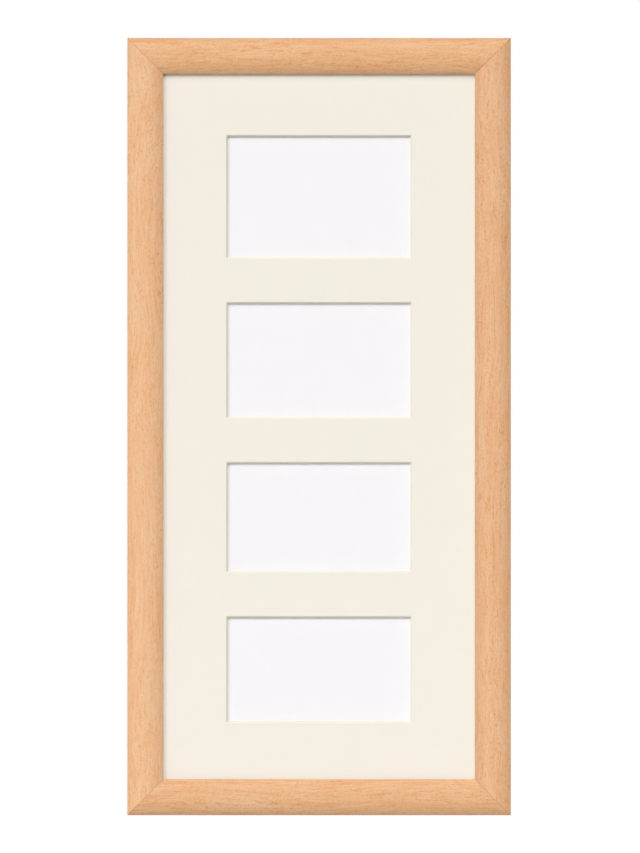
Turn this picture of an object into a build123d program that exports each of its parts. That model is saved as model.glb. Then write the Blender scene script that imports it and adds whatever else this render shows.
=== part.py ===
from build123d import *
import os

# Collage photo frame: a mitred beech moulding around glass, a mat with four windows, and blank prints.
#
# Row frame, in millimetres: +Z is up, +Y is towards the wall and -Y towards the viewer. Left and right
# are as the viewer sees them. The origin is the hanging point, where a nail in the wall plane carries
# the middle notch of the top hanger.
#
# Pieces are drawn about the middle of the frame, with the back of the moulding at y = 0, and are moved
# to the row frame when they are written. What belongs to one side of the frame is drawn on a bottom
# side, along X, with its outer edge at z = 0 and +Z inwards, and is then turned to its own side.

# Prints, and what the mat hides of each: its window's outer cut against the print's size
print_width = 130.0
print_height = 90.0
print_thickness = 0.25
window_side_overlap = 0.7
first_window_trim = 4.35
second_window_trim = 9.3
third_window_trim = 13.15
fourth_window_trim = 16.0

# Mat, with its margins measured from the sight edge of the moulding
mat_thickness = 3.0
mat_bevel = 1.1
mat_side_margin = 43.45
mat_top_margin = 42.0
mat_bottom_margin = 38.75
window_gap = 29.85
tape_width = 18.0
tape_reach = 9.0
tape_thickness = 0.12
tape_inset = 4.0

# Glass, filler card and backing board
glass_thickness = 2.0
glass_seam = 0.3
filler_thickness = 2.5
board_thickness = 3.0
board_edge_bevel = 0.4
board_front_clearance = 0.1
board_edge_clearance = 0.3
board_recess = 0.2
pack_side_clearance = 0.75
pack_end_clearance = 1.75

# Moulding
lip_width = 8.0
lip_thickness = 1.2
back_width = 16.8
crown_width = 7.0
crown_drop = 0.18
face_rise = 4.0
outer_edge_radius = 0.9
sight_edge_radius = 0.7
back_edge_radius = 0.5

# V nails across the back of each mitre
v_nail_leg = 5.0
v_nail_thickness = 0.6
v_nail_depth = 8.0
v_nail_first_inset = 4.0
v_nail_second_inset = 10.0

# Turn buttons, placed along each side from its middle
button_short_offset = 65.0
button_long_offset = 140.0
button_reach = 14.5
button_tail_radius = 5.0
button_tip_radius = 3.6
button_thickness = 1.0
button_edge_round = 0.25
button_standoff = 0.3
button_boss_radius = 3.4
button_wood_clearance = 0.1
button_hole_clearance = 0.08
grip_width = 4.6
grip_thickness = 0.9
grip_height = 1.1
grip_corner_radius = 0.5
grip_inset = 0.9

# Pivot screws of the turn buttons
screw_radius = 1.55
screw_head_radius = 3.2
screw_head_height = 1.4
screw_head_round = 0.8
screw_head_clearance = 0.1
screw_depth = 11.0
screw_point_length = 3.0
screw_point_radius = 0.25
recess_length = 3.2
recess_width = 0.75
recess_depth = 0.9

# Sawtooth hangers
hanger_length = 44.0
hanger_height = 10.0
hanger_thickness = 0.8
hanger_rise = 1.5
hanger_foot = 8.0
hanger_ramp = 2.5
hanger_corner_radius = 2.0
notches_each_side = 3
notch_pitch = 2.8
notch_width = 2.3
notch_depth = 1.6

# Hanger nails
nail_radius = 0.75
nail_hole_clearance = 0.1
nail_head_radius = 1.9
nail_head_height = 0.6
nail_head_round = 0.35
nail_depth = 10.0
nail_point_length = 2.0
nail_point_radius = 0.15

# Wall bumpers
bumper_radius = 5.0
bumper_thickness = 3.2
bumper_edge_round = 0.8
bumper_corner_offset = 28.0

# How far every cut runs past the face that it cuts
overrun = 1.0

# Widths and heights that follow, from the windows out to the moulding
window_trims = (first_window_trim, second_window_trim, third_window_trim, fourth_window_trim)
window_width = print_width - 2 * window_side_overlap
window_heights = [print_height - trim for trim in window_trims]
sight_width = window_width + 2 * mat_side_margin
sight_height = sum(window_heights) + (len(window_heights) - 1) * window_gap
sight_height += mat_top_margin + mat_bottom_margin
glass_width = sight_width + 2 * (lip_width - pack_side_clearance)
glass_height = sight_height + 2 * (lip_width - pack_end_clearance)
moulding_width = back_width + lip_width
outer_width = sight_width + 2 * moulding_width
outer_height = sight_height + 2 * moulding_width

# Depths along Y that follow, from the backing board forwards to the crown of the moulding
board_front = -board_recess - board_thickness
filler_back = board_front - board_front_clearance
filler_front = filler_back - filler_thickness
card_back = filler_front - tape_thickness
mat_back = card_back - print_thickness
mat_front = mat_back - mat_thickness
glass_front = mat_front - glass_thickness
rebate_depth = -glass_front
side_depth = rebate_depth + lip_thickness
moulding_depth = side_depth + face_rise

# The pack of glass, mat and boards stands on the bottom of the rebate
PACK_PLACE = Location((0, 0, -pack_end_clearance))

# How far the middle notch of a hanger lies in from the outer edge, and the row frame that it sets
hanger_inset = (back_width - hanger_height) / 2
hang_inset = hanger_inset + hanger_height - notch_depth
ROW_FRAME = Location((0, -bumper_thickness, hang_inset - outer_height / 2))

# Each side of the frame: its moulding's name, its outer length and the turn from a bottom side to it
SIDES = {
    "bottom": ("rail_bottom", outer_width, Location((0, 0, -outer_height / 2))),
    "top": ("rail_top", outer_width, Location((0, 0, outer_height / 2), (0, 180, 0))),
    "left": ("stile_left", outer_height, Location((-outer_width / 2, 0, 0), (0, 90, 0))),
    "right": ("stile_right", outer_height, Location((outer_width / 2, 0, 0), (0, -90, 0))),
}

# Each turn button as it is stored, open: its side, its place along it, and the way that its tip points
BUTTONS = {
    "turn_button_left_upper": ("left", -button_long_offset, 1),
    "turn_button_left_lower": ("left", button_long_offset, 1),
    "turn_button_right_upper": ("right", button_long_offset, -1),
    "turn_button_right_lower": ("right", -button_long_offset, -1),
    "turn_button_top_left": ("top", button_short_offset, 1),
    "turn_button_top_right": ("top", -button_short_offset, -1),
    "turn_button_bottom_left": ("bottom", -button_short_offset, -1),
    "turn_button_bottom_right": ("bottom", button_short_offset, 1),
}
HANGERS = {"hanger_upright": "top", "hanger_sideways": "left"}
BUMPERS = {"bumper_left": -1, "bumper_right": 1}


def on_side(side, piece, along=0, inset=0):
    """A piece drawn for a bottom side, moved along it and in from its edge, and turned to its own side."""
    place = SIDES[side][2]
    return place * Pos(along, 0, inset) * piece


def group(pieces):
    """Alike pieces as one node of separate solids."""
    return Compound([solid for piece in pieces for solid in piece.solids()])


def sheet(width, height, back, front):
    """A flat rectangular piece between two depths, about the middle of the frame."""
    return Pos(0, (back + front) / 2, 0) * Box(width, back - front, height)


def turned(outline):
    """A round piece about the Y axis, from half of its section as pairs of radius and depth."""
    return revolve(make_face(Polyline(outline, close=True)), Axis.Y)


def driven_pin(depth, point, shank_radius, seat, head_radius, top):
    """A round metal pin: a blunt point of some length and radius, a shank, and a head over its seat."""
    point_length, point_radius = point
    return turned(
        [
            (0, -depth),
            (point_radius, -depth),
            (shank_radius, point_length - depth),
            (shank_radius, seat),
            (head_radius, seat),
            (head_radius, top),
            (0, top),
        ]
    )


def round_hole(radius, top):
    """A round cut along Y through a plate, from below the wood's face to above the plate's top."""
    return turned([(0, -overrun), (radius, -overrun), (radius, top + overrun), (0, top + overrun)])


def wall_side_edges(piece):
    """The edges of a piece that lie nearest to the wall."""
    return piece.edges().group_by(Axis.Y)[-1]


# Moulding


def moulding_section():
    """Section of the moulding: x runs inwards from the outer edge and y forwards from the back."""
    sight_corner = (moulding_width, side_depth)
    outer_corner = (0, side_depth)
    crown_start = ((moulding_width - crown_width) / 2, moulding_depth - crown_drop)
    crown_end = ((moulding_width + crown_width) / 2, moulding_depth - crown_drop)
    crown = ThreePointArc(crown_start, (moulding_width / 2, moulding_depth), crown_end)
    outer_shoulder = TangentArc(crown_start, outer_corner, tangent=-(crown % 0))
    sight_shoulder = TangentArc(crown_end, sight_corner, tangent=crown % 1)
    rebate = Polyline(
        sight_corner,
        (moulding_width, rebate_depth),
        (back_width, rebate_depth),
        (back_width, 0),
        (0, 0),
        outer_corner,
    )
    section = make_face([outer_shoulder, crown, sight_shoulder, rebate])
    rounds = (
        (outer_corner, outer_edge_radius),
        (sight_corner, sight_edge_radius),
        ((0, 0), back_edge_radius),
    )
    for corner, radius in rounds:
        section = fillet(section.vertices().sort_by_distance(corner)[0], radius)
    return section


def rail(side, metal):
    """One length of moulding, mitred at both ends, without the wood that the driven metal takes."""
    length = SIDES[side][1]
    start = Plane(origin=(-length / 2, 0, 0), x_dir=(0, 0, 1), z_dir=(1, 0, 0))
    solid = extrude(start * moulding_section(), amount=length)
    for end in (-1, 1):
        mitre = Plane(origin=(end * length / 2, 0, 0), z_dir=(end, 0, 1))
        solid = split(solid, bisect_by=mitre, keep=Keep.BOTTOM)
    solid = on_side(side, solid)
    for driven in metal:
        solid -= driven
    return solid


# Metal in the wood


def v_nail(inset):
    """One V nail at the lower left corner, its point on the mitre and a leg in each of the two sides."""
    corner = Location((-outer_width / 2, -v_nail_depth / 2, -outer_height / 2))
    middle = inset + v_nail_leg / 2
    edge = inset + v_nail_thickness / 2
    lying = Pos(middle, 0, edge) * Box(v_nail_leg, v_nail_depth, v_nail_thickness)
    standing = Pos(edge, 0, middle) * Box(v_nail_thickness, v_nail_depth, v_nail_leg)
    return corner * (lying + standing)


def v_nails():
    """Two V nails in each of the four mitres."""
    lower_left = [v_nail(v_nail_first_inset), v_nail(v_nail_second_inset)]
    lower = lower_left + [mirror(piece, about=Plane.YZ) for piece in lower_left]
    return group(lower + [mirror(piece, about=Plane.XY) for piece in lower])


def screw():
    """Pan head screw on the pivot of a turn button, with a cross recess."""
    seat = button_standoff + button_thickness + screw_head_clearance
    top = seat + screw_head_height
    point = (screw_point_length, screw_point_radius)
    solid = driven_pin(screw_depth, point, screw_radius, seat, screw_head_radius, top)
    solid = fillet(wall_side_edges(solid), screw_head_round)
    recess_middle = top + (overrun - recess_depth) / 2
    for length, height in ((recess_length, recess_width), (recess_width, recess_length)):
        solid -= Pos(0, recess_middle, 0) * Box(length, recess_depth + overrun, height)
    return solid


def screws():
    """The pivot screw of every turn button."""
    one = screw()
    return group([on_side(side, one, along, back_width / 2) for side, along, _ in BUTTONS.values()])


def nail():
    """Hanger nail, with its head on the foot of the hanger."""
    top = hanger_thickness + nail_head_height
    point = (nail_point_length, nail_point_radius)
    solid = driven_pin(nail_depth, point, nail_radius, hanger_thickness, nail_head_radius, top)
    return fillet(wall_side_edges(solid), nail_head_round)


def nail_offsets():
    """Where the two nails of a hanger lie along it: in the middle of each foot."""
    offset = (hanger_length - hanger_foot) / 2
    return (-offset, offset)


def nails():
    """Two nails for each hanger."""
    return group(
        [
            on_side(side, nail(), along, back_width / 2)
            for side in HANGERS.values()
            for along in nail_offsets()
        ]
    )


# Fittings on the back


def turn_button():
    """A stamped leaf that points along X from its pivot, with a boss under it and a grip at its tip."""
    tail = Circle(button_tail_radius)
    tip = Pos(button_reach, 0) * Circle(button_tip_radius)
    leaf_outline = make_hull(tail.edges() + tip.edges())
    leaf = extrude(Plane.XZ.offset(-button_standoff) * leaf_outline, amount=-button_thickness)
    leaf = fillet(wall_side_edges(leaf), button_edge_round)
    boss = turned(
        [
            (0, button_wood_clearance),
            (button_boss_radius, button_wood_clearance),
            (button_boss_radius, button_standoff),
            (0, button_standoff),
        ]
    )
    grip = Box(grip_thickness, button_thickness + grip_height, grip_width)
    grip = fillet(wall_side_edges(grip).filter_by(Axis.X), grip_corner_radius)
    grip_x = button_reach + button_tip_radius - grip_inset - grip_thickness / 2
    grip_y = button_standoff + (button_thickness + grip_height) / 2
    solid = leaf + boss + Pos(grip_x, grip_y, 0) * grip
    return solid - round_hole(screw_radius + button_hole_clearance, button_standoff + button_thickness)


def turn_buttons():
    """Every turn button by name, where it is stored."""
    along_x = turn_button()
    facing = {1: along_x, -1: Rot(0, 180, 0) * along_x}
    return {
        name: on_side(side, facing[direction], along, back_width / 2)
        for name, (side, along, direction) in BUTTONS.items()
    }


def hanger_strip():
    """Side view of a hanger: a foot on the wood at each end, and a raised middle between two ramps."""
    half = hanger_length / 2
    foot_end = half - hanger_foot
    ramp_end = foot_end - hanger_ramp
    under = [
        (-half, 0),
        (-foot_end, 0),
        (-ramp_end, hanger_rise),
        (ramp_end, hanger_rise),
        (foot_end, 0),
        (half, 0),
    ]
    over = [(x, y + hanger_thickness) for x, y in reversed(under)]
    return make_face(Polyline(under + over, close=True))


def notch(along):
    """The V cut between two teeth, on the hanger's inner edge."""
    root = hanger_height - notch_depth
    half_mouth = notch_width / 2 * (notch_depth + overrun) / notch_depth
    mouth = hanger_height + overrun
    outline = Polyline(
        (along, root), (along + half_mouth, mouth), (along - half_mouth, mouth), close=True
    )
    depth = hanger_rise + hanger_thickness + 2 * overrun
    return extrude(Plane.XZ.offset(overrun) * make_face(outline), amount=-depth)


def hanger():
    """Sawtooth hanger with its outer edge at z = 0 and its notches towards the middle of the frame."""
    solid = extrude(hanger_strip(), amount=hanger_height)
    solid = fillet(solid.edges().filter_by(Axis.Y), hanger_corner_radius)
    for number in range(-notches_each_side, notches_each_side + 1):
        solid -= notch(number * notch_pitch)
    hole = round_hole(nail_radius + nail_hole_clearance, hanger_thickness)
    for along in nail_offsets():
        solid -= Pos(along, 0, hanger_height / 2) * hole
    return solid


def bumper():
    """Soft round bumper, with its wall side rounded off."""
    solid = turned([(0, 0), (bumper_radius, 0), (bumper_radius, bumper_thickness), (0, bumper_thickness)])
    return fillet(wall_side_edges(solid), bumper_edge_round)


# Pack of sheets in the rebate


def window_places():
    """Each window's outer height and the height of its middle above the middle of the frame."""
    places = []
    top = sight_height / 2 - mat_top_margin
    for height in window_heights:
        places.append((height, top - height / 2))
        top -= height + window_gap
    return places


def window_cut(height):
    """The cut of one window: a bevel that narrows it from the front, then straight through."""
    inner_width = window_width - 2 * mat_bevel
    inner_height = height - 2 * mat_bevel
    bevel_back = mat_front + mat_bevel
    front = Plane.XZ.offset(overrun - mat_front)
    wide = Rectangle(window_width + 2 * overrun, height + 2 * overrun)
    bevel = loft([front * wide, Plane.XZ.offset(-bevel_back) * Rectangle(inner_width, inner_height)])
    return bevel + sheet(inner_width, inner_height, mat_back + overrun, bevel_back)


def window_mat():
    """Mat board with its four windows."""
    solid = PACK_PLACE * sheet(glass_width, glass_height, mat_back, mat_front)
    for height, middle in window_places():
        solid -= Pos(0, 0, middle) * window_cut(height)
    return solid


def insert_card(middle):
    """One blank print, on the back of the mat behind its window."""
    return Pos(0, 0, middle) * sheet(print_width, print_height, card_back, mat_back)


def card_tape(middle, end):
    """A strip of tape over one upper side edge of a print, stepped down onto the mat."""
    edge = print_width / 2
    over_card = card_back + tape_thickness
    over_mat = mat_back + tape_thickness
    step = edge + tape_thickness
    outline = Polyline(
        (edge - tape_reach, card_back),
        (edge, card_back),
        (edge, mat_back),
        (edge + tape_reach, mat_back),
        (edge + tape_reach, over_mat),
        (step, over_mat),
        (step, over_card),
        (edge - tape_reach, over_card),
        close=True,
    )
    strip = extrude(make_face(outline), amount=tape_width)
    top = middle + print_height / 2 - tape_inset
    strip = Pos(0, 0, top - tape_width) * strip
    return strip if end > 0 else mirror(strip, about=Plane.YZ)


def card_tapes():
    """Two strips of tape for each print."""
    return group([card_tape(middle, end) for _, middle in window_places() for end in (-1, 1)])


def glass_pane():
    """Clear glass with seamed edges."""
    return PACK_PLACE * chamfer(
        sheet(glass_width, glass_height, mat_front, glass_front).edges(), glass_seam
    )


def filler_card():
    """Grey board between the prints and the backing board."""
    return PACK_PLACE * sheet(glass_width, glass_height, filler_back, filler_front)


def backing_board():
    """Hardboard back, cut a little smaller than the glass, with its back edges eased."""
    width = glass_width - 2 * board_edge_clearance
    height = glass_height - 2 * board_edge_clearance
    board = sheet(width, height, -board_recess, board_front)
    return PACK_PLACE * chamfer(wall_side_edges(board), board_edge_bevel)


# Every node of the frame, by name

metal_in_wood = {"corner_v_nails": v_nails(), "turn_button_screws": screws(), "hanger_nails": nails()}
nodes = dict(metal_in_wood)
for side, (rail_name, _, _) in SIDES.items():
    nodes[rail_name] = rail(side, metal_in_wood.values())
nodes["glass_pane"] = glass_pane()
nodes["window_mat"] = window_mat()
for number, (_, middle) in enumerate(window_places(), start=1):
    nodes[f"insert_card_{number}"] = insert_card(middle)
nodes["card_tapes"] = card_tapes()
nodes["filler_card"] = filler_card()
nodes["backing_board"] = backing_board()
nodes.update(turn_buttons())
for name, side in HANGERS.items():
    nodes[name] = on_side(side, hanger(), 0, hanger_inset)
bumper_offset = outer_width / 2 - bumper_corner_offset
for name, end in BUMPERS.items():
    nodes[name] = on_side("bottom", bumper(), end * bumper_offset, back_width / 2)

os.makedirs("parts", exist_ok=True)
for name, shape in nodes.items():
    export_step(ROW_FRAME * shape, f"parts/{name}.step")
print(f"outer size {outer_width:.2f} x {outer_height:.2f} x {moulding_depth + bumper_thickness:.2f} mm")
print(f"glass {glass_width:.2f} x {glass_height:.2f} mm, sight {sight_width:.2f} x {sight_height:.2f} mm")
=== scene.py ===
import math

import bmesh
import bpy
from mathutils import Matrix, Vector


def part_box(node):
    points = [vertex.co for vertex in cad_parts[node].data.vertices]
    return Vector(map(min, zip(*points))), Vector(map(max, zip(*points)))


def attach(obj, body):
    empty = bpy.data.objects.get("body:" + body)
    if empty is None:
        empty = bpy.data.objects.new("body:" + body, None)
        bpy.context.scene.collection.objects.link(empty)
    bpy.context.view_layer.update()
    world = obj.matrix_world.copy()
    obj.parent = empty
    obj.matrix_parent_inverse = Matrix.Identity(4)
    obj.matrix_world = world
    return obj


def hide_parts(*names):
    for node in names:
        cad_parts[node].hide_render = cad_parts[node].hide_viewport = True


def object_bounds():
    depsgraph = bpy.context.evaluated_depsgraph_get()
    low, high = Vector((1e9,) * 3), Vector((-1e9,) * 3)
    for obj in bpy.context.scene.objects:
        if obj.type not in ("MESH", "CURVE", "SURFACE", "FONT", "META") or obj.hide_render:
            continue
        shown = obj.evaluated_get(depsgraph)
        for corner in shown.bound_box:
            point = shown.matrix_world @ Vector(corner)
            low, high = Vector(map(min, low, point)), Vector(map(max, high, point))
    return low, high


# Collage photo frame, in metres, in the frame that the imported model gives: +Z is up, +Y is towards the
# wall and -Y towards the viewer. The four lengths of moulding and the mat are made here, and the other
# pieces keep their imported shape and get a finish.

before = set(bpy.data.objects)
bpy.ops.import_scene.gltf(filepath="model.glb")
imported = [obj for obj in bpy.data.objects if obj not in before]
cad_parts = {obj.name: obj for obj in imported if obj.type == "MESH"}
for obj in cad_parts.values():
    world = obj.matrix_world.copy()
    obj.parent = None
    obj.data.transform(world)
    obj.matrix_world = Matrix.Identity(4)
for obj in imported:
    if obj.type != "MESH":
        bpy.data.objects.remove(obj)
cad_low, cad_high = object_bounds()

MM = 0.001
QUARTER_TURN = math.pi / 2
WHITE = (1.0, 1.0, 1.0, 1.0)

# Moulding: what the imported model's boxes don't give
LIP_WIDTH = 8.0 * MM
LIP_THICKNESS = 1.2 * MM
CROWN_WIDTH = 7.0 * MM
CROWN_DROP = 0.18 * MM
FACE_RISE = 4.0 * MM
OUTER_EDGE_RADIUS = 0.9 * MM
SIGHT_EDGE_RADIUS = 0.7 * MM
BACK_EDGE_RADIUS = 0.5 * MM

# Hairline groove at the mitres, for each of the two sides: how far it stands off the mitre at the groove's
# bottom, how much further at its edge, and how deep the groove is
MITRE_GAP = 0.004 * MM
MITRE_EASE = 0.11 * MM
MITRE_GROOVE = 0.4 * MM

# Steps along each arc of the moulding's outline and along its length, and the angle in degrees from which
# faces meet in a sharp edge
CROWN_STEPS = 12
SHOULDER_STEPS = 24
FRONT_EDGE_STEPS = 6
BACK_EDGE_STEPS = 4
LENGTH_STEPS = 16
SHARP_ANGLE = 32.0

# Where an outline is moved inwards, a corner goes no further than the distance over this share
INSET_LEAST_SHARE = 0.4

# Pockets of the V nails: how far they run out of the back of the wood, and how near to the nails' own backs
# a point counts as on them, and how near to another point as the same
POCKET_OVERRUN = 0.5 * MM
POCKET_BACK_TOLERANCE = 0.01 * MM
WELD_DISTANCE = 0.001 * MM

# Material slots of the moulding and the mat, after the one of their faces
RAW_SLOT = 1
CORE_SLOT = 1
BACKING_SLOT = 2

# Windows of the mat: what it hides of the prints at each side, and of their height altogether
WINDOW_SIDE_OVERLAP = 0.7 * MM
WINDOW_TRIMS = (4.35 * MM, 9.3 * MM, 13.15 * MM, 16.0 * MM)
MAT_BEVEL = 1.1 * MM
MAT_EDGE_EASE = 0.05 * MM
MAT_EDGE_STEPS = 2
# The mat's face stands this far behind the glass, because faces in one plane show through each other
GLASS_SEAT_GAP = 0.04 * MM

# Layers of the beech's grain: cells of noise per metre along it and across it, and the values of the noise
# between which a layer comes or goes
SWEEP_CELLS = (8, 30)
WAVER_CELLS = (60, 160)
GROWTH_LINE_CELLS = (8, 560)
FIBRE_CELLS = (55, 1800)
FIBRE_RANGE = (0.3, 0.56)
DASH_CELLS = (650, 1900)
DASH_RANGE = (0.28, 0.5)
RED_PATCH_CELLS = (22, 120)
RED_PATCH_RANGE = (0.4, 0.66)
FLECK_CELLS = (300, 1500)
FLECK_RANGE = (0.62, 0.72)
FLECK_CROWD_CELLS = (14, 160)
FLECK_CROWD_RANGE = (0.42, 0.62)

# How far the grain sweeps and wavers, how much its layers darken the wood, how dark it is without them, and
# how dark it is where it has its own colour
GRAIN_SWEEP = 30 * MM
GRAIN_WAVER = 0.9 * MM
GROWTH_LINE_WEIGHT = 0.7
FIBRE_WEIGHT = 0.4
DASH_WEIGHT = 0.5
FLECK_WEIGHT = 0.5
LEAST_DEPTH = 0.07
OWN_DEPTH = 0.33

# How far the layers rise, as shares of a material's relief
FIBRE_RISE = -0.3
FLECK_RISE = -0.8
SAW_MARK_RISE = 0.8

# Colours of the palest and the darkest grain as shares of the wood's own, of the reddish patches that tint
# it, and of the flecks on screen
PALE_GRAIN_SHARES = (1.04, 1.14, 1.22)
DARK_GRAIN_SHARES = (0.87, 0.6, 0.36)
RED_PATCH_TINT = (0.99, 0.94, 0.9)
FLECK_COLOUR = (196, 124, 74)

# Faint marks of the saw on raw wood: cells per metre along the grain and both ways across it, the values of
# the noise between which they come, how strong they are, and their tint
SAW_MARK_CELLS = (900, 25, 25)
SAW_MARK_RANGE = (0.35, 0.65)
SAW_MARK_STRENGTH = 0.12
SAW_MARK_TINT = (0.9, 0.86, 0.8)

# Painted shade: a darker band along the right stile's inner edge, and how quickly it fades
PAINTED_SHADE_WIDTH = 9.5 * MM
PAINTED_SHADE_POWER = 1.4
PAINTED_SHADE_TINT = (0.89, 0.895, 0.92)

# Each side, its node, the turn of its grain, its colour on screen and the contrast of its grain, and how
# far the grain moves on from one side to the next
SIDES = (
    ("bottom", "rail_bottom", (0, 0, 0), (229, 178, 133), 1.06),
    ("top", "rail_top", (0, 0, 0), (232, 179, 132), 1.06),
    ("left", "stile_left", (0, QUARTER_TURN, 0), (236, 187, 143), 0.85),
    ("right", "stile_right", (0, QUARTER_TURN, 0), (231, 180, 136), 1.0),
)
GRAIN_STEP = (0.73, 0.31, 0.57)

# Where most values of a noise lie
NOISE_LOW = 0.3
NOISE_HIGH = 0.7

# Photograph: its frame, how many metres one pixel spans on the frame's front edges, and where the middle
# of the picture frame lies in it
PHOTO_WIDTH = 640
PHOTO_HEIGHT = 853
PIXEL = 0.691 * MM
FRAME_MIDDLE_X = 319.08
FRAME_MIDDLE_Y = 426.58
CAMERA_DISTANCE = 5.0
CAMERA_REACH = 50.0
SENSOR = 36.0

# Light: the strength of the surroundings and the lamps, whose angles are in degrees. Lamps that face 1
# shine on the front of the frame, and those that face -1 on its back
WORLD_STRENGTH = 0.09
LAMPS = {
    "key": {"strength": 1.235, "from_left": 0, "from_above": 28, "facing": 1, "softness": 12},
    "top_key": {"strength": 0.95, "from_left": 0, "from_above": 45, "facing": 1, "softness": 24},
    "side_fill": {"strength": 0.685, "from_left": 35, "from_above": 5, "facing": 1, "softness": 30},
    "wide_fill": {"strength": 0.29, "from_left": 60, "from_above": 10, "facing": 1, "softness": 60},
    "back_left": {"strength": 1.5, "from_left": 40, "from_above": 7, "facing": -1, "softness": 30},
    "back_right": {"strength": 1.3, "from_left": -55, "from_above": 5, "facing": -1, "softness": 40},
}

# Floor: how far it lies below the frame, the light that it throws back, and its glow where it is seen
FLOOR_DROP = 0.36
FLOOR_RADIUS = 2.6
FLOOR_CORNERS = 96
FLOOR_BOUNCE = (0.64, 0.64, 0.64)
FLOOR_GLOW = 0.35


def middle(low, high):
    return (low + high) / 2


def linear(red, green, blue):
    """A colour written as 0 to 255 on screen, as the shaders want it."""
    screen = (red / 255, green / 255, blue / 255)
    return tuple(c / 12.92 if c <= 0.04045 else ((c + 0.055) / 1.055) ** 2.4 for c in screen)


class Nodes:
    """The node tree of a material or a world, built one node at a time."""

    def __init__(self, owner, output):
        owner.use_nodes = True
        self.owner = owner
        self.tree = owner.node_tree
        self.tree.nodes.clear()
        self.output = self.tree.nodes.new(output)

    def node(self, kind, settings=None, **inputs):
        """One node, with its settings and with each input given a value or linked to a socket."""
        made = self.tree.nodes.new(kind)
        for key, value in (settings or {}).items():
            setattr(made, key, value)
        for key, value in inputs.items():
            self.put(made.inputs[key.replace("_", " ")], value)
        return made

    def put(self, socket, value):
        """Links a socket to another one, or gives it a value."""
        if isinstance(value, bpy.types.NodeSocket):
            self.tree.links.new(value, socket)
        else:
            socket.default_value = value

    def place(self, cells, turn=(0, 0, 0), shift=(0, 0, 0)):
        """Object coordinates, turned, scaled to cells per metre, one number or three, and shifted."""
        scale = cells if isinstance(cells, tuple) else (cells, cells, cells)
        coordinates = self.node("ShaderNodeTexCoord").outputs["Object"]
        turned = self.node("ShaderNodeMapping", Vector=coordinates, Rotation=turn).outputs[0]
        return self.node("ShaderNodeMapping", Vector=turned, Location=shift, Scale=scale).outputs[0]

    def noise(self, vector, detail=2.0, roughness=0.5, distortion=0.0, output="Fac"):
        """A noise over a vector, as a value, or as a colour with the output Color."""
        made = self.node(
            "ShaderNodeTexNoise", Vector=vector, Scale=1.0, Detail=detail, Roughness=roughness,
            Distortion=distortion,
        )
        return made.outputs[output]

    def noise_at(self, cells, **settings):
        """A noise of so many cells per metre."""
        return self.noise(self.place(cells), **settings)

    def stretched(self, vector, scale):
        """A vector scaled along each axis."""
        made = self.node("ShaderNodeVectorMath", {"operation": "MULTIPLY"})
        self.put(made.inputs[0], vector)
        self.put(made.inputs[1], scale)
        return made.outputs[0]

    def moved(self, vector, by, reach):
        """A vector moved by another one times a reach."""
        made = self.node("ShaderNodeVectorMath", {"operation": "MULTIPLY_ADD"})
        for socket, value in zip(made.inputs, (by, reach, vector)):
            self.put(socket, value)
        return made.outputs[0]

    def math(self, operation, first, second):
        """The result of an operation on two values."""
        made = self.node("ShaderNodeMath", {"operation": operation})
        self.put(made.inputs[0], first)
        self.put(made.inputs[1], second)
        return made.outputs[0]

    def plus(self, first, second):
        return self.math("ADD", first, second)

    def times(self, first, second):
        return self.math("MULTIPLY", first, second)

    def remap(self, value, low, high, to_low=0.0, to_high=1.0):
        """A value moved from one range to another, and held inside it."""
        made = self.node("ShaderNodeMapRange")
        for socket, number in zip(made.inputs[:5], (value, low, high, to_low, to_high)):
            self.put(socket, number)
        return made.outputs[0]

    def vary(self, noise, low, high):
        """A value that goes from low to high with a noise."""
        return self.remap(noise, NOISE_LOW, NOISE_HIGH, low, high)

    def ramp(self, factor, stops):
        """A colour ramp from pairs of position and colour."""
        made = self.node("ShaderNodeValToRGB", Fac=factor)
        elements = made.color_ramp.elements
        while len(elements) < len(stops):
            elements.new(0.5)
        for element, (position, colour) in zip(elements, stops):
            element.position = position
            element.color = (*colour, 1.0)
        return made.outputs["Color"]

    def tint(self, noise, first, second):
        """A colour that goes from the first to the second with a noise."""
        return self.ramp(noise, ((NOISE_LOW, first), (NOISE_HIGH, second)))

    def mix(self, factor, first, second, blend="MIX"):
        """Two colours mixed by a factor."""
        made = self.node("ShaderNodeMix", {"data_type": "RGBA", "blend_type": blend})
        sockets = {each.identifier: each for each in (*made.inputs, *made.outputs)}
        self.put(sockets["Factor_Float"], factor)
        for name, colour in (("A_Color", first), ("B_Color", second)):
            self.put(sockets[name], (*colour, 1.0) if isinstance(colour, tuple) else colour)
        return sockets["Result_Color"]

    def bump(self, height, distance, strength):
        """A normal bent by a height."""
        return self.node("ShaderNodeBump", Height=height, Distance=distance, Strength=strength).outputs[0]

    def seen_rays(self):
        """One for what the camera sees straight on, in a reflection or through glass, otherwise zero."""
        path = self.node("ShaderNodeLightPath").outputs
        mirrored = self.math("MAXIMUM", path["Is Glossy Ray"], path["Is Transmission Ray"])
        return self.math("MAXIMUM", path["Is Camera Ray"], mirrored)

    def mixed_shader(self, share, first, second):
        """Two shaders, with the given share of the second."""
        made = self.node("ShaderNodeMixShader", Fac=share)
        self.put(made.inputs[1], first.outputs[0])
        self.put(made.inputs[2], second.outputs[0])
        return made

    def end_with(self, shader):
        """Ends the tree with a shader, and gives the tree's material or world."""
        self.put(self.output.inputs["Surface"], shader.outputs[0])
        return self.owner

    def surface(self, **inputs):
        """Ends the tree with a Principled surface."""
        return self.end_with(self.node("ShaderNodeBsdfPrincipled", **inputs))


# Materials


def material(name):
    """The empty node tree of a new material."""
    return Nodes(bpy.data.materials.new(name), "ShaderNodeOutputMaterial")


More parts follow.
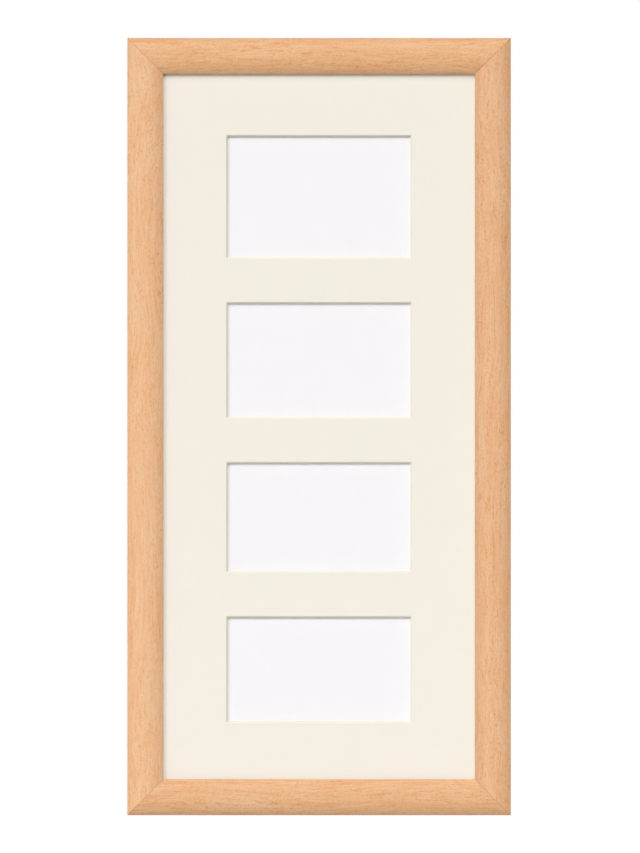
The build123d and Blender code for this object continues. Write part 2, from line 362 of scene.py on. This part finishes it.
def wood_grain(s, turn, shift):
    """Noise that runs along the grain, as a function of its cells per metre along and across it."""

    def layer(place, cells, output="Fac"):
        along, across = cells
        return s.noise(s.stretched(place, (along, across, across)), detail=1.0, output=output)

    straight = s.place(1, turn, shift)
    sweep = layer(straight, SWEEP_CELLS, "Color")
    waver = layer(straight, WAVER_CELLS, "Color")
    bent = s.moved(straight, sweep, (0.0, GRAIN_SWEEP, GRAIN_SWEEP))
    bent = s.moved(bent, waver, (0.0, GRAIN_WAVER, GRAIN_WAVER))
    return lambda cells: layer(bent, cells)


def wood_colour(s, grain, fibres, flecks, base, contrast):
    """The base colour, darkened by growth lines, fibres and dashes, with reddish patches and ray flecks."""

    def shade(shares):
        return tuple(part * (1 + (share - 1) * contrast) for part, share in zip(base, shares))

    dashes = s.remap(grain(DASH_CELLS), *DASH_RANGE, 1.0, 0.0)
    growth_lines = s.times(s.math("SUBTRACT", grain(GROWTH_LINE_CELLS), 0.5), GROWTH_LINE_WEIGHT)
    depth = s.plus(s.times(fibres, FIBRE_WEIGHT), s.times(dashes, DASH_WEIGHT))
    depth = s.plus(s.plus(depth, growth_lines), LEAST_DEPTH)
    pale, dark = shade(PALE_GRAIN_SHARES), shade(DARK_GRAIN_SHARES)
    colour = s.ramp(depth, ((0.0, pale), (OWN_DEPTH, base), (1.0, dark)))
    red_patches = s.remap(grain(RED_PATCH_CELLS), *RED_PATCH_RANGE)
    colour = s.mix(red_patches, colour, RED_PATCH_TINT, "MULTIPLY")
    return s.mix(s.times(flecks, FLECK_WEIGHT), colour, linear(*FLECK_COLOUR))


def with_painted_shade_from(s, colour, start_x):
    """A colour with painted shade from an X on, which fades back to itself over the band's width."""
    across = s.node("ShaderNodeSeparateXYZ", Vector=s.place(1)).outputs["X"]
    band = s.remap(across, start_x, start_x + PAINTED_SHADE_WIDTH, 1.0, 0.0)
    return s.mix(s.math("POWER", band, PAINTED_SHADE_POWER), colour, PAINTED_SHADE_TINT, "MULTIPLY")


def beech(name, turn, shift, base, contrast, raw=False, painted_shade_x=None):
    """Beech with its grain along X before the turn, lacquered, or raw with faint marks of the saw."""
    s = material(name)
    grain = wood_grain(s, turn, shift)
    fibres = s.remap(grain(FIBRE_CELLS), *FIBRE_RANGE, 1.0, 0.0)
    fleck_crowds = s.remap(grain(FLECK_CROWD_CELLS), *FLECK_CROWD_RANGE)
    flecks = s.times(s.remap(grain(FLECK_CELLS), *FLECK_RANGE), fleck_crowds)
    colour = wood_colour(s, grain, fibres, flecks, base, contrast)
    # Painted shade: the wood darkens inwards from this X along an inner edge
    if painted_shade_x is not None:
        colour = with_painted_shade_from(s, colour, painted_shade_x)
    relief = s.plus(s.times(fibres, FIBRE_RISE), s.times(flecks, FLECK_RISE))
    if raw:
        marks = s.noise(s.place(SAW_MARK_CELLS, turn, shift), detail=1.0)
        marked = s.remap(marks, *SAW_MARK_RANGE, 0.0, SAW_MARK_STRENGTH)
        relief = s.plus(relief, s.times(marks, SAW_MARK_RISE))
        return s.surface(
            Base_Color=s.mix(marked, colour, SAW_MARK_TINT, "MULTIPLY"),
            Roughness=s.remap(fibres, 0.0, 1.0, 0.76, 0.88), Normal=s.bump(relief, 0.08 * MM, 0.5),
        )
    return s.surface(
        Base_Color=colour, Roughness=s.remap(fibres, 0.0, 1.0, 0.5, 0.62),
        Normal=s.bump(relief, 0.05 * MM, 0.25), Specular_IOR_Level=0.2,
    )


def mottled(name, cells, colours, rough, relief, shine=0.5, **noise_settings):
    """A material in which one noise varies the colour, the roughness and the height together."""
    s = material(name)
    mottle = s.noise_at(cells, **noise_settings)
    return s.surface(
        Base_Color=s.tint(mottle, *colours), Roughness=s.vary(mottle, *rough),
        Normal=s.bump(mottle, *relief), Specular_IOR_Level=shine,
    )


def mat_paper():
    """The mat's paper face: off-white, very faintly mottled, with a fine tooth."""
    s = material("mat_paper")
    tooth = s.noise_at(2400, roughness=0.6)
    colour = s.tint(s.noise_at(60), linear(244.6, 239.8, 227.0), linear(246.4, 239.4, 227.6))
    return s.surface(
        Base_Color=s.mix(s.vary(tooth, 0.0, 0.05), colour, linear(232, 224, 205)),
        Roughness=s.vary(tooth, 0.86, 0.94), Normal=s.bump(tooth, 0.03 * MM, 0.4), Specular_IOR_Level=0.2,
    )


def mat_core():
    """The mat's cut core, which shows on the bevels."""
    colours = (linear(236, 231, 212), linear(242, 238, 221))
    return mottled("mat_core", (300, 6000, 300), colours, (0.88, 0.96), (0.03 * MM, 0.4), shine=0.15)


def mat_backing():
    """The mat's greyer backing layer, cut square under the bevel."""
    colours = (linear(210, 205, 188), linear(222, 217, 201))
    return mottled("mat_backing", (260, 4000, 260), colours, (0.88, 0.96), (0.04 * MM, 0.5), shine=0.15)


def print_paper():
    """A blank print: white coated paper with a satin face."""
    s = material("print_paper")
    cloud = s.noise_at(90, detail=3.0)
    grain = s.noise_at(3500, detail=1.0)
    return s.surface(
        Base_Color=s.tint(cloud, linear(245.2, 243.2, 246), linear(247, 245, 247.2)),
        Roughness=s.vary(grain, 0.42, 0.5), Normal=s.bump(grain, 0.008 * MM, 0.3), Specular_IOR_Level=0.4,
    )


def tape_paper():
    """Cream paper tape, crinkled across its length."""
    colours = (linear(222, 203, 160), linear(234, 217, 178))
    return mottled("tape_paper", (500, 500, 1800), colours, (0.6, 0.75), (0.03 * MM, 0.6), detail=3.0)


def grey_board():
    """Recycled grey board, flecked with fibres."""
    s = material("grey_board")
    fibre = s.noise_at((900, 900, 260), detail=3.0, roughness=0.65)
    dark, grey, pale = linear(146, 142, 136), linear(166, 162, 155), linear(184, 180, 172)
    colour = s.ramp(fibre, ((0.25, dark), (0.5, grey), (0.75, pale)))
    return s.surface(
        Base_Color=s.mix(s.vary(s.noise_at(35), 0.0, 0.18), colour, linear(138, 134, 126)),
        Roughness=s.vary(fibre, 0.85, 0.95), Normal=s.bump(fibre, 0.04 * MM, 0.5), Specular_IOR_Level=0.2,
    )


def hardboard():
    """Hardboard: pressed brown fibres with a hard, slightly shiny face."""
    s = material("hardboard_face")
    felt = s.noise_at(700, detail=4.0, roughness=0.7, distortion=1.5)
    cloud = s.noise_at(22, detail=3.0, roughness=0.6)
    specks = s.remap(s.noise_at(1300, detail=1.0), 0.64, 0.72)
    dark, brown, pale = linear(112, 74, 47), linear(139, 96, 63), linear(163, 119, 82)
    colour = s.ramp(felt, ((0.25, dark), (0.5, brown), (0.78, pale)))
    colour = s.mix(s.remap(cloud, 0.35, 0.7, 0.0, 0.4), colour, linear(120, 82, 54))
    return s.surface(
        Base_Color=s.mix(s.times(specks, 0.5), colour, linear(80, 50, 32)),
        Roughness=s.vary(cloud, 0.42, 0.58), Normal=s.bump(felt, 0.05 * MM, 0.5),
    )


def plated_steel():
    """Zinc plated steel: pale grey metal with faint blotches and fine rubbing marks."""
    s = material("zinc_plate")
    blotch = s.noise_at(260, detail=3.0, roughness=0.6)
    rub = s.noise_at((4200, 900, 700), roughness=0.6)
    dark, grey, pale = linear(142, 145, 149), linear(166, 169, 172), linear(186, 187, 186)
    return s.surface(
        Base_Color=s.ramp(blotch, ((0.3, dark), (0.55, grey), (0.75, pale))), Metallic=1.0,
        Roughness=s.plus(s.vary(blotch, 0.3, 0.42), s.remap(rub, 0.4, 0.7, 0.0, 0.12)),
        Normal=s.bump(rub, 0.01 * MM, 0.4),
    )


def rubber():
    """Soft grey-brown bumper rubber with a dusty bloom."""
    colours = (linear(52, 50, 48), linear(74, 72, 69))
    return mottled("soft_rubber", 600, colours, (0.6, 0.8), (0.02 * MM, 0.5), detail=3.0, roughness=0.6)


def clear_glass():
    """Float glass as it shows from a step away: clear, with a faint gloss that grows at a slant.

    Only faces turned to the viewer shine: rays go straight through, so a far face would mirror them all.
    """
    s = material("clear_glass")
    normal = s.bump(s.noise_at(12, detail=1.0), 0.02 * MM, 0.3)
    edge = s.node("ShaderNodeFresnel", IOR=1.45, Normal=normal).outputs[0]
    near = s.math("SUBTRACT", 1.0, s.node("ShaderNodeNewGeometry").outputs["Backfacing"])
    camera = s.node("ShaderNodeLightPath").outputs["Is Camera Ray"]
    through = s.node("ShaderNodeBsdfTransparent", Color=WHITE)
    gloss = s.node("ShaderNodeBsdfGlossy", Roughness=0.02, Normal=normal)
    return s.end_with(s.mixed_shader(s.times(s.times(edge, near), camera), through, gloss))


def floor_paint():
    """Pale floor that brightens into the white surroundings and keeps the object's shadow.

    What the camera sees, and gloss and glass with it, is paler than what lights the object from below.
    """
    s = material("studio_floor")
    colour = s.tint(s.noise_at(3), linear(238, 238, 238), linear(241, 241, 240))
    seen = s.seen_rays()
    paint = s.node("ShaderNodeBsdfDiffuse", Color=s.mix(seen, FLOOR_BOUNCE, colour))
    glow = s.node("ShaderNodeEmission", Color=WHITE, Strength=s.times(seen, FLOOR_GLOW))
    both = s.node("ShaderNodeAddShader")
    s.put(both.inputs[0], paint.outputs[0])
    s.put(both.inputs[1], glow.outputs[0])
    return s.end_with(both)


# Mesh pieces


def mesh_from(shape, name):
    """A mesh with what was made in mesh code, which is freed."""
    mesh = bpy.data.meshes.new(name)
    shape.to_mesh(mesh)
    shape.free()
    return mesh


def in_scene(name, data):
    """A new object in the scene."""
    made = bpy.data.objects.new(name, data)
    bpy.context.scene.collection.objects.link(made)
    return made


def piece_from(shape, name, materials, body, replaced):
    """A mesh piece that rides on a body and stands for CAD nodes."""
    mesh = mesh_from(shape, name)
    piece = in_scene(name, mesh)
    for each in materials:
        mesh.materials.append(each)
    mesh.shade_smooth()
    mesh.set_sharp_from_angle(angle=math.radians(SHARP_ANGLE))
    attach(piece, body)
    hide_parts(*replaced)
    return piece


def arc(start, tangent, end, steps):
    """Points after the start of the arc that leaves it along the tangent and reaches the end."""
    start, end = Vector(start), Vector(end)
    tangent = Vector(tangent).normalized()
    chord = end - start
    normal = Vector((-tangent.y, tangent.x))
    radius = chord.length_squared / (2 * chord.dot(normal))
    centre = start + normal * radius
    from_centre = start - centre
    turn = 2 * math.atan2(tangent.cross(chord), tangent.dot(chord))
    points = []
    for step in range(1, steps + 1):
        angle = turn * step / steps
        c, s = math.cos(angle), math.sin(angle)
        x = from_centre.x * c - from_centre.y * s
        y = from_centre.x * s + from_centre.y * c
        points.append(centre + Vector((x, y)))
    return points


def rounded(path, corner, radius, steps):
    """A closed path of points with one of its corners rounded."""
    index = min(range(len(path)), key=lambda i: (path[i] - Vector(corner)).length)
    tip = path[index]
    back = (path[index - 1] - tip).normalized()
    ahead = (path[(index + 1) % len(path)] - tip).normalized()
    reach = radius / math.tan(back.angle(ahead) / 2)
    others = path[index + 1:] + path[:index]
    while (others[0] - tip).dot(ahead) < reach:
        others.pop(0)
    while (others[-1] - tip).dot(back) < reach:
        others.pop()
    first, last = tip + back * reach, tip + ahead * reach
    return [first, *arc(first, -back, last, steps), *others]


def moulding_profile(width, depth):
    """Closed outline of the moulding: x runs inwards from its outer edge and y forwards from its back."""
    side_y = depth - FACE_RISE
    rebate_y = side_y - LIP_THICKNESS
    crown_y = depth - CROWN_DROP
    crown_start = Vector(((width - CROWN_WIDTH) / 2, crown_y))
    crown_end = Vector(((width + CROWN_WIDTH) / 2, crown_y))
    end_slope = 2 * math.atan2(2 * CROWN_DROP, CROWN_WIDTH)
    rise, run = math.sin(end_slope), math.cos(end_slope)
    crown = arc(crown_start, (run, rise), crown_end, CROWN_STEPS)
    sight_shoulder = arc(crown_end, (run, -rise), (width, side_y), SHOULDER_STEPS)
    outer_shoulder = [Vector((width - p.x, p.y)) for p in reversed(sight_shoulder)]
    face = [*outer_shoulder, crown_start, *crown, *sight_shoulder]
    rebate = [Vector((width, rebate_y)), Vector((width - LIP_WIDTH, rebate_y))]
    back = [Vector((width - LIP_WIDTH, 0)), Vector((0, 0))]
    path = rounded([*face, *rebate, *back], (0, side_y), OUTER_EDGE_RADIUS, FRONT_EDGE_STEPS)
    path = rounded(path, (width, side_y), SIGHT_EDGE_RADIUS, FRONT_EDGE_STEPS)
    return rounded(path, (0, 0), BACK_EDGE_RADIUS, BACK_EDGE_STEPS)


def inset(path, distance):
    """A closed clockwise or anticlockwise path, moved inwards by a distance."""
    count = len(path)
    area = sum(path[i - 1].cross(path[i]) for i in range(count))
    side = 1 if area > 0 else -1
    moved = []
    for i in range(count):
        before = (path[i] - path[i - 1]).normalized()
        after = (path[(i + 1) % count] - path[i]).normalized()
        normal = Vector((-before.y - after.y, before.x + after.x)).normalized()
        share = max(INSET_LEAST_SHARE, normal.dot(Vector((-before.y, before.x))))
        moved.append(path[i] + normal * side * distance / share)
    return moved


def unseen(place, profile):
    """Whether a place on the moulding's outline lies on its back or in its rebate, which stay raw."""
    width = max(p.x for p in profile)
    side_y = max(p.y for p in profile) - FACE_RISE
    on_back = place.y < BACK_EDGE_RADIUS / 2
    under_lip = place.y < side_y - LIP_THICKNESS / 2 and place.x > width - LIP_WIDTH - BACK_EDGE_RADIUS
    return on_back or (under_lip and place.x < width - SIGHT_EDGE_RADIUS / 2)


def take_out(piece, node):
    """Cuts the outlines of a CAD node's driven metal out of the back of a piece."""
    shape = bmesh.new()
    shape.from_mesh(node.data)
    bmesh.ops.remove_doubles(shape, verts=shape.verts[:], dist=WELD_DISTANCE)
    back = max(v.co.y for v in shape.verts)
    for v in shape.verts:
        if v.co.y > back - POCKET_BACK_TOLERANCE:
            v.co.y += POCKET_OVERRUN
    data = mesh_from(shape, "pockets")
    cutter = in_scene("pockets", data)
    cut = piece.modifiers.new("pockets", "BOOLEAN")
    cut.operation = "DIFFERENCE"
    cut.solver = "EXACT"
    cut.object = cutter
    evaluated = piece.evaluated_get(bpy.context.evaluated_depsgraph_get())
    whole = piece.data
    piece.data = bpy.data.meshes.new_from_object(evaluated)
    piece.modifiers.clear()
    bpy.data.objects.remove(cutter)
    bpy.data.meshes.remove(data)
    bpy.data.meshes.remove(whole)


def moulding_side(name, side, profile, materials):
    """One mitred length of moulding, whose mitre edges leave a hairline groove."""
    low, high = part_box(name)
    length = high.x - low.x if side in ("bottom", "top") else high.z - low.z
    centre_x, centre_z = middle(cad_low.x, cad_high.x), middle(cad_low.z, cad_high.z)
    shape = bmesh.new()

    def place(along, inwards, forwards):
        y = high.y - forwards
        if side == "bottom":
            return (centre_x + along, y, low.z + inwards)
        if side == "top":
            return (centre_x + along, y, high.z - inwards)
        if side == "left":
            return (low.x + inwards, y, centre_z + along)
        return (high.x - inwards, y, centre_z + along)

    def ring(path, share, gap):
        """An outline at a share of the way from the middle to one mitre, 1, or the other, -1."""
        return [shape.verts.new(place(share * (length / 2 - p.x - gap), p.x, p.y)) for p in path]

    groove = inset(profile, MITRE_GROOVE)
    rings = [ring(groove, -1, MITRE_GAP)]
    for step in range(LENGTH_STEPS + 1):
        rings.append(ring(profile, 2 * step / LENGTH_STEPS - 1, MITRE_GAP + MITRE_EASE))
    rings.append(ring(groove, 1, MITRE_GAP))
    raw = [unseen(middle(profile[i - 1], profile[i]), profile) for i in range(len(profile))]
    for first, second in zip(rings, rings[1:]):
        for i in range(len(profile)):
            face = shape.faces.new((first[i - 1], first[i], second[i], second[i - 1]))
            if raw[i]:
                face.material_index = RAW_SLOT
    for end in (rings[0], rings[-1]):
        shape.faces.new(end).material_index = RAW_SLOT
    bmesh.ops.recalc_face_normals(shape, faces=shape.faces[:])
    piece = piece_from(shape, f"wood_{name}", materials, "frame", [name])
    take_out(piece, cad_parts["corner_v_nails"])


def mat_windows():
    """Half the windows' width, and the lowest and highest z of each from the bottom one up."""
    cards = [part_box(f"insert_card_{number}") for number in range(1, len(WINDOW_TRIMS) + 1)]
    first_low, first_high = cards[0]
    half_width = (first_high.x - first_low.x) / 2 - WINDOW_SIDE_OVERLAP
    windows = []
    for (low, high), trim in zip(cards, WINDOW_TRIMS):
        centre = middle(low.z, high.z)
        half_height = (high.z - low.z - trim) / 2
        windows.append((centre - half_height, centre + half_height))
    return half_width, sorted(windows)


def mat_with_windows(materials):
    """The mat: a sheet with windows, cut at a slant through its core and square through its backing.

    The corners of its windows and edges lie in a grid, with columns 0 to 3 and rows 0 to the last.
    """
    low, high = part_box("window_mat")
    front_y = low.y + GLASS_SEAT_GAP
    half_width, windows = mat_windows()
    shape = bmesh.new()

    def layer(y, shrink):
        """One face of the sheet, as quads around its windows, and its corners by row and column."""
        xs = [low.x, -half_width + shrink, half_width - shrink, high.x]
        zs = [low.z]
        for bottom, top in windows:
            zs += [bottom + shrink, top - shrink]
        zs.append(high.z)
        corners = {}
        for row, z in enumerate(zs):
            for column, x in enumerate(xs):
                corners[row, column] = shape.verts.new((x, y, z))
        for row in range(len(zs) - 1):
            for column in range(len(xs) - 1):
                in_window = column == 1 and row % 2 == 1
                if not in_window:
                    around = ((row, column), (row, column + 1), (row + 1, column + 1), (row + 1, column))
                    shape.faces.new([corners[each] for each in around])
        return corners

    def wall(first, second, ring, slot):
        """Quads between two layers along a closed ring of rows and columns."""
        for a, b in zip(ring, ring[1:] + ring[:1]):
            face = shape.faces.new((first[a], first[b], second[b], second[a]))
            face.material_index = slot

    front = layer(front_y, 0.0)
    back = layer(high.y, MAT_BEVEL)
    last = 2 * len(windows) + 1
    for row in range(1, last, 2):
        ring = [(row, 1), (row, 2), (row + 1, 2), (row + 1, 1)]
        bevel_end = {}
        for each in ring:
            bevel_end[each] = shape.verts.new((back[each].co.x, front_y + MAT_BEVEL, back[each].co.z))
        wall(front, bevel_end, ring, CORE_SLOT)
        wall(bevel_end, back, ring, BACKING_SLOT)
    rising = [(row, 3) for row in range(last + 1)]
    falling = [(row, 0) for row in range(last, 0, -1)]
    outer = [(0, 0), (0, 1), (0, 2), *rising, (last, 2), (last, 1), *falling]
    wall(front, back, outer, BACKING_SLOT)
    bmesh.ops.recalc_face_normals(shape, faces=shape.faces[:])
    piece = piece_from(shape, "mat_sheet", materials, "frame", ["window_mat"])
    ease = piece.modifiers.new("ease", "BEVEL")
    ease.width = MAT_EDGE_EASE
    ease.segments = MAT_EDGE_STEPS
    ease.limit_method = "ANGLE"


# Building

stile_low, stile_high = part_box("stile_left")
profile = moulding_profile(stile_high.x - stile_low.x, stile_high.y - stile_low.y)
for number, (side, name, turn, screen_colour, contrast) in enumerate(SIDES):
    shift = tuple(number * step for step in GRAIN_STEP)
    base = linear(*screen_colour)
    # The right stile gets painted shade along its inner edge, from its lowest X
    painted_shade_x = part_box(name)[0].x if side == "right" else None
    lacquered = beech(f"beech_{side}", turn, shift, base, contrast, painted_shade_x=painted_shade_x)
    bare = beech(f"raw_beech_{side}", turn, shift, base, contrast, raw=True)
    moulding_side(name, side, profile, [lacquered, bare])

mat_with_windows([mat_paper(), mat_core(), mat_backing()])

# Finishes of the pieces that keep their shape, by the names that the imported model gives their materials
CAD_FINISHES = {
    "glass": clear_glass(),
    "print_card": print_paper(),
    "paper_tape": tape_paper(),
    "grey_board": grey_board(),
    "hardboard": hardboard(),
    "plated_steel": plated_steel(),
    "bumper_rubber": rubber(),
}
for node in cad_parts.values():
    for place in node.material_slots:
        if place.material.name in CAD_FINISHES:
            place.material = CAD_FINISHES[place.material.name]


# Studio


def add_floor():
    """A round floor below the frame."""
    shape = bmesh.new()
    bmesh.ops.create_circle(shape, cap_ends=True, radius=FLOOR_RADIUS, segments=FLOOR_CORNERS)
    data = mesh_from(shape, "floor")
    data.materials.append(floor_paint())
    made = in_scene("floor", data)
    made.location = (0, 0, cad_low.z - FLOOR_DROP)


def add_surroundings():
    """A dim, even light from all around, which the camera, gloss and glass see as white."""
    world = bpy.data.worlds.new("studio")
    bpy.context.scene.world = world
    s = Nodes(world, "ShaderNodeOutputWorld")
    light = s.node("ShaderNodeBackground", Color=WHITE, Strength=WORLD_STRENGTH)
    white = s.node("ShaderNodeBackground", Color=WHITE, Strength=1.0)
    s.end_with(s.mixed_shader(s.seen_rays(), light, white))


def add_lamp(name, strength, from_left, from_above, facing, softness):
    """A sun lamp, whose light comes from the left and from above by the two angles."""
    data = bpy.data.lights.new(name, "SUN")
    data.energy = strength
    data.angle = math.radians(softness)
    left, above = math.radians(from_left), math.radians(from_above)
    across = math.sin(left) * math.cos(above)
    level = math.cos(left) * math.cos(above)
    direction = Vector((across, facing * level, -math.sin(above)))
    in_scene(name, data).rotation_euler = direction.to_track_quat("-Z", "Y").to_euler()


def add_camera():
    """The camera, square on to the front, so far off that the frame shows hardly any perspective."""
    data = bpy.data.cameras.new("camera")
    data.sensor_width = SENSOR
    # The sensor's width spans the longer side of the picture
    data.lens = SENSOR * CAMERA_DISTANCE / (PHOTO_HEIGHT * PIXEL)
    data.clip_end = CAMERA_REACH
    camera = in_scene("camera", data)
    camera.location = (
        middle(cad_low.x, cad_high.x) + (PHOTO_WIDTH / 2 - FRAME_MIDDLE_X) * PIXEL,
        cad_low.y + FACE_RISE - CAMERA_DISTANCE,
        middle(cad_low.z, cad_high.z) + (FRAME_MIDDLE_Y - PHOTO_HEIGHT / 2) * PIXEL,
    )
    camera.rotation_euler = (QUARTER_TURN, 0, 0)
    bpy.context.scene.camera = camera


add_floor()
add_surroundings()
for name, settings in LAMPS.items():
    add_lamp(name, **settings)
add_camera()
bpy.context.scene.view_settings.view_transform = "Standard"
